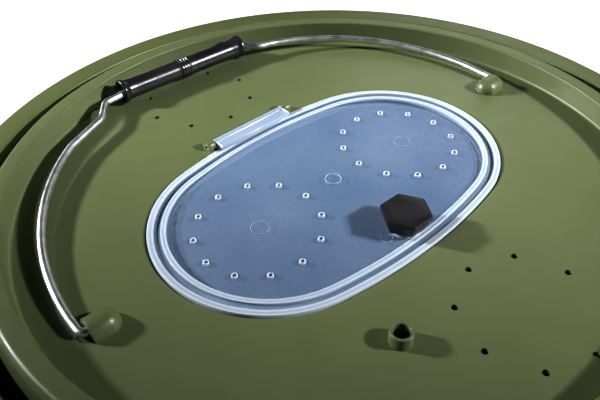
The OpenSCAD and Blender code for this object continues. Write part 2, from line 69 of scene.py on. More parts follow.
def gridFaces(rows, columns, closeRows=False):
    # quads between neighbouring rings; each ring closes on itself
    j = np.arange(columns)
    i = np.arange(rows if closeRows else rows - 1)[:, None]
    nextI, nextJ = (i + 1) % rows, (j + 1) % columns
    return np.stack([i * columns + j, i * columns + nextJ, nextI * columns + nextJ, nextI * columns + j],
                    -1).reshape(-1, 4)


def signedVolume(points, faces):
    # sum of the tetrahedra from the origin to each face's triangles
    total = 0.0
    for group in faces:
        for k in range(1, group.shape[1] - 1):
            a, b, c = points[group[:, 0]], points[group[:, k]], points[group[:, k + 1]]
            total += np.einsum("ij,ij->i", a, np.cross(b, c)).sum() / 6
    return total


def shell(rings, closeRows=False):
    # a closed skin over a stack of rings: the ends are fans to their middle, or the rows close into a torus
    rings = np.asarray(rings, float)
    rows, columns = rings.shape[:2]
    points = rings.reshape(-1, 3)
    faces = [gridFaces(rows, columns, closeRows)]
    if not closeRows:
        j = np.arange(columns)
        nextJ = (j + 1) % columns
        middle = len(points)
        last = (rows - 1) * columns
        points = np.vstack([points, rings[0].mean(0), rings[-1].mean(0)])
        faces.append(np.stack([np.full(columns, middle), nextJ, j], -1))
        faces.append(np.stack([np.full(columns, middle + 1), last + j, last + nextJ], -1))
    if signedVolume(points, faces) < 0:
        faces = [group[:, ::-1] for group in faces]
    return points, faces


def join(*shells):
    # several skins as one set of points and faces
    points, faces, first = [], [], 0
    for p, groups in shells:
        points.append(p)
        faces += [group + first for group in groups]
        first += len(p)
    return np.vstack(points), faces


def thicken(points, faces, normals, thickness):
    # a sheet of quads made solid: its copy lies a thickness below, and every open edge gets a side
    count = len(points)
    edges = np.stack([faces, np.roll(faces, -1, axis=1)], -1).reshape(-1, 2)
    key = np.sort(edges, axis=1)
    _, inverse, uses = np.unique(key, axis=0, return_inverse=True, return_counts=True)
    rim = edges[uses[inverse.ravel()] == 1]
    sides = np.stack([rim[:, 1], rim[:, 0], rim[:, 0] + count, rim[:, 1] + count], -1)
    used = np.unique(np.concatenate([faces.ravel(), faces.ravel() + count]))
    both = np.vstack([points, points - normals * thickness])
    renumber = np.zeros(2 * count, int)
    renumber[used] = np.arange(len(used))
    groups = [renumber[faces], renumber[faces[:, ::-1] + count], renumber[sides]]
    if signedVolume(both[used], groups) < 0:
        groups = [group[:, ::-1] for group in groups]
    return both[used], groups


def roundPath(points, radii, steps=5):
    # each corner of a path becomes an arc that touches both of its sides
    points = np.asarray(points, float)
    pieces = [points[:1]]
    for a, b, c, radius in zip(points[:-2], points[1:-1], points[2:], radii):
        if radius <= 0:
            pieces.append(b[None])
            continue
        u, w = (a - b) / np.linalg.norm(a - b), (c - b) / np.linalg.norm(c - b)
        half = math.acos(np.clip(u @ w, -1, 1)) / 2
        back, span = radius / math.tan(half), math.pi - 2 * half
        centre = b + (u + w) / np.linalg.norm(u + w) * radius / math.sin(half)
        start, end = b + u * back - centre, b + w * back - centre
        t = np.linspace(0, 1, steps + 1)[:, None]
        pieces.append(centre + (start * np.sin((1 - t) * span) + end * np.sin(t * span)) / math.sin(span))
    pieces.append(points[-1:])
    return np.vstack(pieces)


def arc(centre, radius, start, end, steps):
    # points on a circle between two angles in degrees
    a = np.radians(np.linspace(start, end, steps + 1))
    return np.stack([centre[0] + radius * np.cos(a), centre[1] + radius * np.sin(a)], -1)


def lathe(profile, columns=96, centre=(0, 0, 0)):
    # a profile of (distance, height) turned round a vertical axis
    profile = np.asarray(profile, float)
    a = np.linspace(0, 2 * math.pi, columns, endpoint=False)
    r, z = profile[:, :1], np.repeat(profile[:, 1:], columns, axis=1)
    return np.stack([r * np.cos(a), r * np.sin(a), z], -1) + np.asarray(centre, float)


def alongY(rings):
    # turn a shape that stands on Z until it lies along Y
    return np.stack([rings[..., 0], rings[..., 2], -rings[..., 1]], -1)


def sweep(path, radius, columns=20):
    # a round section carried along a flat path, square to it: side = radius cos, height = radius sin
    path = np.asarray(path, float)
    tangent = np.gradient(path, axis=0)
    tangent /= np.linalg.norm(tangent, axis=1, keepdims=True)
    a = np.linspace(0, 2 * math.pi, columns, endpoint=False)
    side = np.stack([tangent[:, 1], -tangent[:, 0]], -1)
    flat = path[:, None, :] + side[:, None, :] * (radius * np.cos(a))[None, :, None]
    height = np.broadcast_to(radius * np.sin(a), flat.shape[:2])
    return np.concatenate([flat, height[..., None]], -1)


def turnAboutY(rings, degrees):
    c, s = math.cos(math.radians(degrees)), math.sin(math.radians(degrees))
    return np.stack([c * rings[..., 0] + s * rings[..., 2], rings[..., 1],
                     -s * rings[..., 0] + c * rings[..., 2]], -1)


def turnAboutZ(rings, degrees):
    c, s = math.cos(math.radians(degrees)), math.sin(math.radians(degrees))
    return np.stack([c * rings[..., 0] - s * rings[..., 1], s * rings[..., 0] + c * rings[..., 1],
                     rings[..., 2]], -1)


def crossRows(rows):
    # flat outlines of (x, z), each one upright at its own place along Y
    return np.stack([np.column_stack([outline[:, 0], np.full(len(outline), y), outline[:, 1]]) for outline,
                     y in rows])


def makePiece(name, skin, body, material, replaced=(), sharp=32, attribute=None):
    points, faces = skin
    mesh = bpy.data.meshes.new(name)
    corners = np.concatenate([group.ravel() for group in faces])
    sizes = np.concatenate([np.full(len(group), group.shape[1]) for group in faces])
    mesh.vertices.add(len(points))
    mesh.vertices.foreach_set("co", (points * mm).astype(np.float32).ravel())
    mesh.loops.add(len(corners))
    mesh.loops.foreach_set("vertex_index", corners.astype(np.int32))
    mesh.polygons.add(len(sizes))
    mesh.polygons.foreach_set("loop_start", np.concatenate([[0], np.cumsum(sizes)[:-1]]).astype(np.int32))
    mesh.update(calc_edges=True)
    mesh.validate()
    mesh.polygons.foreach_set("use_smooth", np.ones(len(mesh.polygons), bool))
    mesh.set_sharp_from_angle(angle=math.radians(sharp))
    if attribute is not None:
        layer = mesh.attributes.new("thicknessAndHighlight", "FLOAT", "POINT")
        layer.data.foreach_set("value", attribute.astype(np.float32))
    piece = bpy.data.objects.new(name, mesh)
    bpy.context.scene.collection.objects.link(piece)
    piece.data.materials.append(material)
    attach(piece, body)
    if replaced:
        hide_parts(*replaced)
    return piece


def cutHoles(piece, cutters, sharp=32):
    # take closed skins away from a piece, and keep the result as its mesh
    points, faces = join(*cutters)
    mesh = bpy.data.meshes.new("cutter")
    mesh.from_pydata((points * mm).tolist(), [], [face for group in faces for face in group.tolist()])
    cutter = bpy.data.objects.new("cutter", mesh)
    bpy.context.scene.collection.objects.link(cutter)
    modifier = piece.modifiers.new("holes", "BOOLEAN")
    modifier.operation, modifier.solver, modifier.object = "DIFFERENCE", "EXACT", cutter
    graph = bpy.context.evaluated_depsgraph_get()
    result = bpy.data.meshes.new_from_object(piece.evaluated_get(graph))
    piece.modifiers.clear()
    piece.data = result
    bpy.data.objects.remove(cutter)
    result.set_sharp_from_angle(angle=math.radians(sharp))


# ---- materials ----

def addNode(tree, kind, settings=None, **inputs):
    node = tree.nodes.new(kind)
    for key, value in (settings or {}).items():
        setattr(node, key, value)
    for key, value in inputs.items():
        socket = node.inputs[key.replace("_", " ")]
        if isinstance(value, bpy.types.NodeSocket):
            tree.links.new(value, socket)
        else:
            socket.default_value = value
    return node


def newMaterial(name):
    material = bpy.data.materials.new(name)
    material.use_nodes = True
    tree = material.node_tree
    tree.nodes.clear()
    output = tree.nodes.new("ShaderNodeOutputMaterial")
    shader = tree.nodes.new("ShaderNodeBsdfPrincipled")
    tree.links.new(shader.outputs[0], output.inputs[0])
    return material, tree, shader


def noise(tree, scale, detail=2.0, stretch=(1, 1, 1), distortion=0.0):
    # noise on Object coordinates, stretched along an axis where its scale is small
    coordinates = addNode(tree, "ShaderNodeTexCoord").outputs["Object"]
    mapping = addNode(tree, "ShaderNodeMapping", Vector=coordinates, Scale=stretch)
    return addNode(tree, "ShaderNodeTexNoise", Vector=mapping.outputs[0], Scale=scale, Detail=detail,
                   Distortion=distortion).outputs[0]


def ramp(tree, value, low, high, lowTo=0.0, highTo=1.0):
    return addNode(tree, "ShaderNodeMapRange", {"clamp": True}, Value=value, From_Min=low, From_Max=high,
                   To_Min=lowTo, To_Max=highTo).outputs[0]


def maths(tree, operation, *values):
    node = addNode(tree, "ShaderNodeMath", {"operation": operation})
    for socket, value in zip(node.inputs, values):
        if isinstance(value, bpy.types.NodeSocket):
            tree.links.new(value, socket)
        else:
            socket.default_value = value
    return node.outputs[0]


def mixColour(tree, factor, first, second):
    mix = addNode(tree, "ShaderNodeMix", {"data_type": "RGBA"})
    for index, value in ((0, factor), (6, first), (7, second)):
        if isinstance(value, bpy.types.NodeSocket):
            tree.links.new(value, mix.inputs[index])
        else:
            mix.inputs[index].default_value = value if index == 0 else (*value, 1.0)
    return mix.outputs[2]


def bump(tree, heights, strength, distance):
    return addNode(tree, "ShaderNodeBump", Height=heights, Strength=strength, Distance=distance).outputs[0]


def mouldedGreen(name, light, dark, scratched):
    # dyed polypropylene: slow cloudy tint, fine moulded grain, uneven gloss and a few hair scratches
    material, tree, shader = newMaterial(name)
    cloud = ramp(tree, noise(tree, 9, 4), 0.3, 0.7)
    tint = mixColour(tree, cloud, dark, light)
    line = maths(tree, "ABSOLUTE", maths(tree, "SUBTRACT", noise(tree, 11, 1.5, (1, 1, 1), 0.6), 0.5))
    patch = ramp(tree, noise(tree, 5, 1), 0.6, 0.68, 0, scratched)
    scratch = maths(tree, "MULTIPLY", ramp(tree, line, 0.0, 0.0022, 1, 0), patch)
    tint = mixColour(tree, scratch, tint, tuple(min(1, c * 2.2 + 0.05) for c in light))
    tree.links.new(tint, shader.inputs["Base Color"])
    tree.links.new(ramp(tree, noise(tree, 60, 3, (1, 1, 0.4)), 0.3, 0.7, 0.36, 0.47),
                   shader.inputs["Roughness"])
    heights = maths(tree, "MULTIPLY_ADD", noise(tree, 38, 2), 2.0, noise(tree, 2600, 1))
    tree.links.new(bump(tree, heights, 0.25, 0.00006), shader.inputs["Normal"])
    shader.inputs["Specular IOR Level"].default_value = 0.5
    return material


def clearPlastic(name):
    # milky clear polypropylene: thick beads look white, the thin membrane lets the inside show through; the same
    # per-point value also whitens the beads' rounded top edges as painted highlight lines
    material, tree, shader = newMaterial(name)
    thicknessAndHighlight = addNode(tree, "ShaderNodeAttribute", {"attribute_name": "thicknessAndHighlight"}).outputs["Fac"]
    cloud = ramp(tree, noise(tree, 22, 3), 0.3, 0.7)
    thin = mixColour(tree, cloud, (0.20, 0.29, 0.46), (0.27, 0.37, 0.52))
    tree.links.new(mixColour(tree, thicknessAndHighlight, thin, (0.56, 0.63, 0.70)), shader.inputs["Base Color"])
    tree.links.new(ramp(tree, thicknessAndHighlight, 0, 1, 0.36, 0.9), shader.inputs["Alpha"])
    tree.links.new(ramp(tree, noise(tree, 45, 3), 0.3, 0.7, 0.16, 0.26), shader.inputs["Roughness"])
    tree.links.new(bump(tree, noise(tree, 70, 2), 0.2, 0.0003), shader.inputs["Normal"])
    shader.inputs["IOR"].default_value = 1.49
    return material


def mouldedBlack(name, low, high):
    # dark moulded plastic with a soft sheen and handling marks
    material, tree, shader = newMaterial(name)
    tree.links.new(mixColour(tree, ramp(tree, noise(tree, 60, 4), 0.35, 0.7), (0.010, 0.010, 0.013),
                             (0.024, 0.023, 0.027)), shader.inputs["Base Color"])
    tree.links.new(ramp(tree, noise(tree, 150, 3), 0.3, 0.7, low, high), shader.inputs["Roughness"])
    tree.links.new(bump(tree, noise(tree, 1500, 2), 0.3, 0.00008), shader.inputs["Normal"])
    return material


def zincPlated(name, low, high):
    # bright zinc on drawn wire: metal with dull spots and a fine bumped grain
    material, tree, shader = newMaterial(name)
    spots = ramp(tree, noise(tree, 240, 4), 0.4, 0.7)
    tree.links.new(mixColour(tree, spots, (0.74, 0.75, 0.77), (0.52, 0.53, 0.55)), shader.inputs["Base Color"])
    tree.links.new(ramp(tree, noise(tree, 160, 3), 0.3, 0.7, low, high), shader.inputs["Roughness"])
    tree.links.new(bump(tree, noise(tree, 900, 2), 0.25, 0.00008), shader.inputs["Normal"])
    shader.inputs["Metallic"].default_value = 1.0
    return material


bucketGreen = mouldedGreen("bucketGreen", (0.112, 0.134, 0.058), (0.092, 0.112, 0.046), 0.2)
lidGreen = mouldedGreen("lidGreen", (0.130, 0.150, 0.074), (0.110, 0.130, 0.061), 0.35)
# the basket's green is set lighter than the lid's and the bucket's, as painted light for the light that reaches
# it through the hatch
basketGreenPaintedLight = mouldedGreen("basketGreenPaintedLight", (0.17, 0.21, 0.095), (0.15, 0.185, 0.08), 0.0)
clear = clearPlastic("milkyClear")
gripBlack = mouldedBlack("gripBlack", 0.24, 0.34)
knobBlack = mouldedBlack("knobBlack", 0.34, 0.46)
zinc = zincPlated("zincWire", 0.36, 0.5)
steel = zincPlated("steel", 0.28, 0.42)
print("materials made")

# ---- bucket ----
bucket = {
    "mouthR": 163.5, "floorR": 130.0, "wall": 2.6, "floorT": 3.0, "footH": 4.0, "footW": 6.0,
    "rimW": 13.7, "lipH": 20.0, "blockW": 10.5, "turn": -6.0, "columns": 320,
}


def makeBucket(s):
    # lathe: foot ring, tapered wall, hanging lip, rounded rim and the inside
    rimR, top = s["mouthR"] + s["rimW"], place["rimTop"]
    wallOut, floorOut = s["mouthR"] + s["wall"], s["floorR"] + s["wall"]
    inner, floorTop = rimR - s["wall"], s["floorT"] + s["footH"]
    profile = roundPath([
        (2, s["footH"]), (floorOut - s["footW"], s["footH"]), (floorOut - s["footW"], 0), (floorOut, 0),
        (floorOut + (wallOut - floorOut) * 0.5, top * 0.5), (wallOut, top - s["wall"]),
        (inner, top - s["wall"]),
        (inner, top - s["lipH"]), (rimR, top - s["lipH"]), (rimR, top), (s["mouthR"], top),
        (s["floorR"] + (s["mouthR"] - s["floorR"]) * 0.5, (top + floorTop) * 0.5), (s["floorR"], floorTop),
        (2, floorTop)],
        [1.0, 1.4, 1.4, 0, 0.8, 0.8, 1.0, 1.0, 2.4, 1.0, 0, 5.0], 6)
    skins = [shell(lathe(profile, s["columns"]))]
    # blocks between the wall and the lip, which carry the bail's ends
    low, high, half = top - s["lipH"] + 1, top - s["wall"] + 0.5, s["blockW"] / 2
    corners = [(0, low), (half, low), (half, high), (-half, high), (-half, low), (0, low)]
    section = roundPath(corners, [1, 0.4, 0.4, 1], 3)[:-1]
    block = crossRows([(section, s["mouthR"] + 1.3), (section, inner + 0.4)])
    for side in (0, 180):
        skins.append(shell(turnAboutZ(block, s["turn"] + side)))
    return makePiece("bucketShell", join(*skins), "bucket", bucketGreen, ("bucket_shell",))


def makeBucketBail(s):
    # round wire on a circle just inside the mouth, with an end turned out into each block
    wire = {"d": 3.5, "r": 160.55, "z": 284.8, "bend": 1.85, "reach": 176.7}
    end = roundPath([(0, wire["reach"]), (0, wire["r"]), (-9, wire["r"] - 0.3)], [wire["bend"]], 8)[:-1]
    quarter = np.vstack([end, arc((0, 0), wire["r"], 94, 180, 80)])
    path = np.vstack([quarter, (quarter * (1, -1))[-2::-1]])
    rings = turnAboutZ(sweep(path, wire["d"] / 2), s["turn"]) + (0, 0, wire["z"])
    return makePiece("bucketBail", shell(rings), "bucket_bail", zinc, ("bucket_bail",), 60)


makeBucket(bucket)
makeBucketBail(bucket)
print("bucket made")

# ---- basket ----
basket = {
    "rimR": 151.9, "floorR": 117.0, "wall": 2.2, "low": 21.0, "top": 293.0, "footH": 14.0,
    "columns": 112, "pitch": 8.2, "bar": 0.36, "band": 13.0, "floorPitch": 8.2, "feet": 4,
}


def makeBasket(s):
    # wall: a cone on a grid whose cells are a bar and a hole; floor: a square mesh inside a ring
    height = s["top"] - s["low"]
    rows = int((height - 2 * s["band"]) / s["pitch"])
    turns = np.add.outer(np.arange(s["columns"]),
                         [0, s["bar"] * 0.5, s["bar"]]).ravel() / s["columns"] * 2 * math.pi
    steps = s["band"] + np.add.outer(np.arange(rows), [0, s["bar"]]).ravel() * s["pitch"]
    levels = np.concatenate([[0, 1.5], steps, [s["band"] + rows * s["pitch"], height - 4, height]])
    radius = s["floorR"] + (s["rimR"] - s["floorR"]) * levels / height
    points = np.stack([radius[:, None] * np.cos(turns), radius[:, None] * np.sin(turns),
                       np.broadcast_to((s["low"] + levels)[:, None], (len(levels), len(turns)))],
                       -1).reshape(-1, 3)
    faces = gridFaces(len(levels), len(turns))
    i, j = np.divmod(np.arange(len(faces)), len(turns))
    hole = (j % 3 == 2) & (i >= 2) & (i < 2 + 2 * rows) & (i % 2 == 1)
    outward = points * (1, 1, 0)
    outward /= np.linalg.norm(outward, axis=1, keepdims=True)
    wall = thicken(points, faces[~hole], outward, s["wall"])
    # floor
    count = int(s["floorR"] / s["floorPitch"])
    lines = np.add.outer(np.arange(-count, count + 1), [-s["bar"] / 2, s["bar"] / 2]).ravel() * s["floorPitch"]
    x, y = np.meshgrid(lines, lines, indexing="ij")
    points = np.stack([x, y, np.full_like(x, s["low"] + s["wall"])], -1).reshape(-1, 3)
    n = len(lines)
    a, b = np.meshgrid(np.arange(n - 1), np.arange(n - 1), indexing="ij")
    first = (a * n + b).ravel()
    faces = np.stack([first, first + n, first + n + 1, first + 1], -1)
    middle = points[faces].mean(1)
    inside = np.hypot(middle[:, 0], middle[:, 1]) < s["floorR"] - 6
    keep = ~((a.ravel() % 2 == 1) & (b.ravel() % 2 == 1)) & inside
    floor = thicken(points, faces[keep], np.broadcast_to([0, 0, 1.0], points.shape), s["wall"] - 0.2)
    ring = roundPath([(s["floorR"] - 9, s["low"] + s["wall"]), (s["floorR"] - 0.3, s["low"] + s["wall"]),
                      (s["floorR"] - 0.3, s["low"]),
                      (s["floorR"] - 9, s["low"]), (s["floorR"] - 9, s["low"] + 1)], [0.5, 0.5, 0.5], 3)
    skins = [wall, floor, shell(lathe(ring, 160), closeRows=True)]
    for k in range(s["feet"]):
        a = math.radians(360 * (k + 0.5) / s["feet"])
        foot = roundPath([(0.5, -s["footH"]), (7, -s["footH"]), (7, 1), (0.5, 1)], [1.2, 0], 4)
        footX, footY = (s["floorR"] - 14) * math.cos(a), (s["floorR"] - 14) * math.sin(a)
        skins.append(shell(lathe(foot, 40, (footX, footY, s["low"]))))
    return makePiece("basketMesh", join(*skins), "basket", basketGreenPaintedLight, ("basket",))


makeBasket(basket)
print("basket made")

# ---- the oval of the hatch ----
oval = {"halfLength": 91.8, "halfWidth": 58.4, "endR": 54.8, "columns": 420}


def ovalOutline(s, columns):
    # four arcs: the centre and radius of the arc at each step, and the outward direction there
    c = s["halfLength"] - s["endR"]
    gap = s["halfWidth"] - s["endR"]
    d = (c * c - gap * gap) / (2 * gap)
    sideR, turn = s["halfWidth"] + d, math.atan2(c, d)
    breaks = np.array([-turn, turn, math.pi - turn, math.pi + turn, 2 * math.pi - turn])
    radii = np.array([sideR, s["endR"], sideR, s["endR"]])
    lengths = np.concatenate([[0], np.cumsum(np.diff(breaks) * radii)])
    along = np.linspace(0, lengths[-1], columns, endpoint=False)
    angle = np.interp(along, lengths, breaks)
    part = np.clip(np.searchsorted(lengths, along, side="right") - 1, 0, 3)
    centre = np.array([[-d, 0], [0, c], [d, 0], [0, -c]])[part]
    return centre, radii[part], np.stack([np.cos(angle), np.sin(angle)], -1)


ovalCentre, ovalRadius, ovalOut = ovalOutline(oval, oval["columns"])


def ovalRings(profile, step=1):
    # rings that run round the oval: profile holds (inset from the outline, height)
    profile = np.asarray(profile, float)
    flat = ovalCentre[::step] + ovalOut[::step] * (ovalRadius[::step][None, :, None] - profile[:, :1, None])
    height = np.broadcast_to(profile[:, 1:], flat.shape[:2])
    return np.concatenate([flat, height[..., None]], -1)


# ---- lid ----
lid = {
    "skirtR": 156.6, "shoulder": 4.6, "skirtDrop": 7.0, "hatchGap": 0.7, "ledgeW": 4.8, "ledgeBottom": -5.2,
    "ventX": 105.0, "ventRing": 28.0, "vents": 8, "ventD": 2.9, "steps": 26,
    "port": (81.48, -46.47), "portR": 4.7, "portBore": 3.4, "portH": 5.6, "portUnder": 6.0,
}


def makeLid(s):
    # one closed skin: oval ledge, domed plate blended from the oval to a circle, raised rim, skirt, underside
    t, top = place["lidT"], place["wallTop"]
    edge = ovalRings([(-s["hatchGap"], 0)])[0, :, :2]
    bearing = np.arctan2(edge[:, 1], edge[:, 0])
    spoke = np.stack([np.cos(bearing), np.sin(bearing)], -1)

    def circleRings(profile):
        profile = np.asarray(profile, float)
        flat = spoke[None] * profile[:, :1, None]
        return np.concatenate([flat, np.broadcast_to(profile[:, 1:], flat.shape[:2])[..., None]], -1)

    def plateRings(inset, radius, drop, steps):
        # straight from each oval point to the circle, on the dome or a thickness below it
        start = ovalRings([(inset, 0)])[0, :, :2]
        share = np.linspace(0, 1, steps)[:, None, None]
        flat = start * (1 - share) + spoke * radius * share
        return np.concatenate([flat, -plateSag(np.linalg.norm(flat, axis=-1))[..., None] - drop], -1)

    def atPlate(inset, below):
        flat = ovalRings([(inset, 0)])[0]
        flat[:, 2] = -plateSag(np.hypot(flat[:, 0], flat[:, 1])) - below
        return flat[None]

    shoulderTop = s["skirtR"] - s["shoulder"]
    a = np.radians(np.linspace(90, 0, 13))[:, None]
    outerCurve = np.hstack([shoulderTop + s["shoulder"] * np.cos(a), top - 2 * s["shoulder"] * (1 - np.sin(a))])
    innerCurve = np.hstack([shoulderTop + (s["shoulder"] - t) * np.cos(a),
                            top - t - (2 * s["shoulder"] - t) * (1 - np.sin(a))])[::-1]
    flatR, foot = place["plateR"] - 3, place["plateR"]
    outside = roundPath(np.vstack([
        [(flatR, -plateSag(flatR)), (foot, -place["crown"]), (place["wallTopR"], top)], outerCurve,
        [(s["skirtR"], -s["skirtDrop"]), (s["skirtR"] - t, -s["skirtDrop"])], innerCurve,
        [(place["wallTopR"] + t, top - t), (foot + t, -place["crown"] - t), (flatR, -plateSag(flatR) - t)]]),
        [1.6, 0.8] + [0] * 13 + [0.7, 0.7] + [0] * 13 + [0.8, 1.2], 5)
    ledge = place["ledgeTop"]
    rings = np.concatenate([
        ovalRings([(s["ledgeW"], ledge - 1.5), (s["ledgeW"], ledge - 0.3), (s["ledgeW"] - 0.3, ledge),
                   (0.3 - s["hatchGap"], ledge),
                   (-s["hatchGap"], ledge + 0.3)]),
        atPlate(-s["hatchGap"], 0.35), atPlate(-s["hatchGap"] - 0.1, 0.1),
        plateRings(-s["hatchGap"] - 0.35, flatR, 0, s["steps"])[:-1],
        circleRings(outside),
        plateRings(-s["hatchGap"] - t, flatR, t, s["steps"])[::-1][1:],
        ovalRings([(-s["hatchGap"] - t, s["ledgeBottom"] + 0.4), (-s["hatchGap"] - t + 0.4, s["ledgeBottom"]),
                   (s["ledgeW"] - 0.4, s["ledgeBottom"]), (s["ledgeW"], s["ledgeBottom"] + 0.4)])])
    rings[..., 2] += place["lidZ"]
    piece = makePiece("lidShell", shell(rings, closeRows=True), "lid", lidGreen, ("lid",))
    cutters = []
    around = np.radians(np.arange(s["vents"]) * 360 / s["vents"])
    straight = [(s["ventD"] / 2, place["lidZ"] - 12), (s["ventD"] / 2, place["lidZ"] + 3)]
    for side in (-1, 1):
        for a in around:
            cutters.append(shell(lathe(straight, 20,
                                       (side * s["ventX"] + s["ventRing"] * math.cos(a),
                                        s["ventRing"] * math.sin(a), 0))))
    middle = (s["portR"] + s["portBore"]) / 2
    cutters.append(shell(lathe([(middle, place["lidZ"] - 12), (middle, place["lidZ"] + 3)], 40,
                               (*s["port"], 0))))
    cutHoles(piece, cutters)
    return piece


def makePort(s):
    # upright tube: a closed profile turned round its own axis
    floor = -float(plateSag(math.hypot(*s["port"])))
    low, high = floor - place["lidT"] - s["portUnder"], floor + s["portH"]
    profile = roundPath([(s["portBore"], (low + high) / 2), (s["portBore"], low), (s["portR"], low),
                         (s["portR"], floor), (s["portR"], high),
                         (s["portBore"], high), (s["portBore"], (low + high) / 2 + 0.5)],
                         [0.3, 0.4, 0, 0.55, 0.35], 5)
    profile[:, 1] += place["lidZ"]
    return makePiece("hosePort", shell(lathe(profile, 72, (*s["port"], 0)), closeRows=True), "lid",
                     lidGreen)


def makeBosses(s):
    # half-round boss: sections across Y, from the blind bore over the end face to the rounded inner end
    r, inner = s["r"], place["bossOut"] - s["length"]
    axisZ = place["pivotZ"] + 1.85 + s["cover"] - r
    boreR = 1.91
    a = np.linspace(0, 2 * math.pi, 64, endpoint=False)
    alpha = np.radians(np.linspace(0, 88, 14))
    sections = [(boreR, place["pivotZ"], place["bossOut"] - 9),
                (boreR, place["pivotZ"], place["bossOut"] - 0.25),
                (boreR + 0.25, place["pivotZ"], place["bossOut"]), (r - 0.7, axisZ, place["bossOut"]),
                (r - 0.2, axisZ, place["bossOut"] - 0.2), (r, axisZ, place["bossOut"] - 0.7)]
    sections += [(r * math.cos(t), axisZ, inner + r - r * math.sin(t)) for t in alpha]
    sections = np.array(sections)
    rings = np.stack([sections[:, :1] * np.cos(a), np.repeat(sections[:, 2:], len(a), 1),
                      sections[:, 1:2] + sections[:, :1] * np.sin(a)], -1)
    floor = -plateSag(np.hypot(rings[..., 0], rings[..., 1])) - place["lidT"] / 2
    rings[..., 2] = np.maximum(rings[..., 2], floor) + place["lidZ"]
    skins = [shell(rings), shell(rings * (-1, -1, 1))]
    return makePiece("bailBosses", join(*skins), "lid", lidGreen)


def makeLugs(s):
    # each lug is an outline of (x, z) carried along Y, with the pin's bore through it
    foot = place["hingeZ"] + place["lidT"] / 2 + 0.6
    base = roundPath([(0, -foot), (s["r"], -foot), (s["r"], 0.6), (s["topR"] - 0.4, s["topR"]),
                      (0.4 - s["topR"], s["topR"]),
                      (-s["r"], 0.6), (-s["r"], -foot), (0, -foot)], [0.2, 2.2, 1.8, 1.8, 2.2, 0.2], 6)[:-1]
    a = np.arctan2(base[:, 1], base[:, 0])
    bore = np.stack([np.cos(a), np.sin(a)], -1) * s["bore"]
    skins = []
    for side in (-1, 1):
        y0 = side * (s["knuckle"] + s["gap"])
        y1 = y0 + side * s["w"]
        rows = [(base * 0.93, y0), (base, y0 + side * 0.4), (base, y1 - side * 0.4), (base * 0.93, y1),
                (bore, y1), (bore, y0)]
        skins.append(shell(crossRows(rows) + (place["hingeX"], 0, place["hingeZ"] + place["lidZ"]),
                           closeRows=True))
    return makePiece("hingeLugs", join(*skins), "lid", lidGreen)


boss = {"r": 6.1, "length": 13.4, "cover": 2.6}
lug = {"r": 3.0, "topR": 2.4, "bore": 0.83, "w": 4.0, "gap": 0.6, "knuckle": 22.4}
makeLid(lid)
makePort(lid)
makeBosses(boss)
makeLugs(lug)
print("lid made")

# ---- hatch ----
hatch = {
    "flange": 1.8, "bead": 1.2, "outerW": 2.9, "grooveW": 3.0, "innerW": 2.5, "plug": -4.8, "sink": 1.2,
    "membraneT": 1.3, "membraneZ": 1.5, "membraneR": 840.0,
    "ringY": 45.5, "ringR": 28.2, "holes": 12, "holeD": 1.8,
    "collarD": 3.0, "collarH": 0.6, "hubR": 6.9, "hubBore": 4.96, "seat": 1.58,
    "marks": [(1.0, -45.2, 4.2), (1.5, 46.9, 4.0), (43.0, -10.8, 2.6)],      # x, y and radius
}


def membraneTop(s, r):
    return s["membraneZ"] - s["membraneR"] + np.sqrt(s["membraneR"] ** 2 - np.square(r))


def holePlaces(s):
    a = np.radians(np.arange(s["holes"]) * 360 / s["holes"])
    ring = np.stack([s["ringR"] * np.cos(a), s["ringR"] * np.sin(a)], -1)
    return np.vstack([ring + (0, s["ringY"]), ring - (0, s["ringY"])])


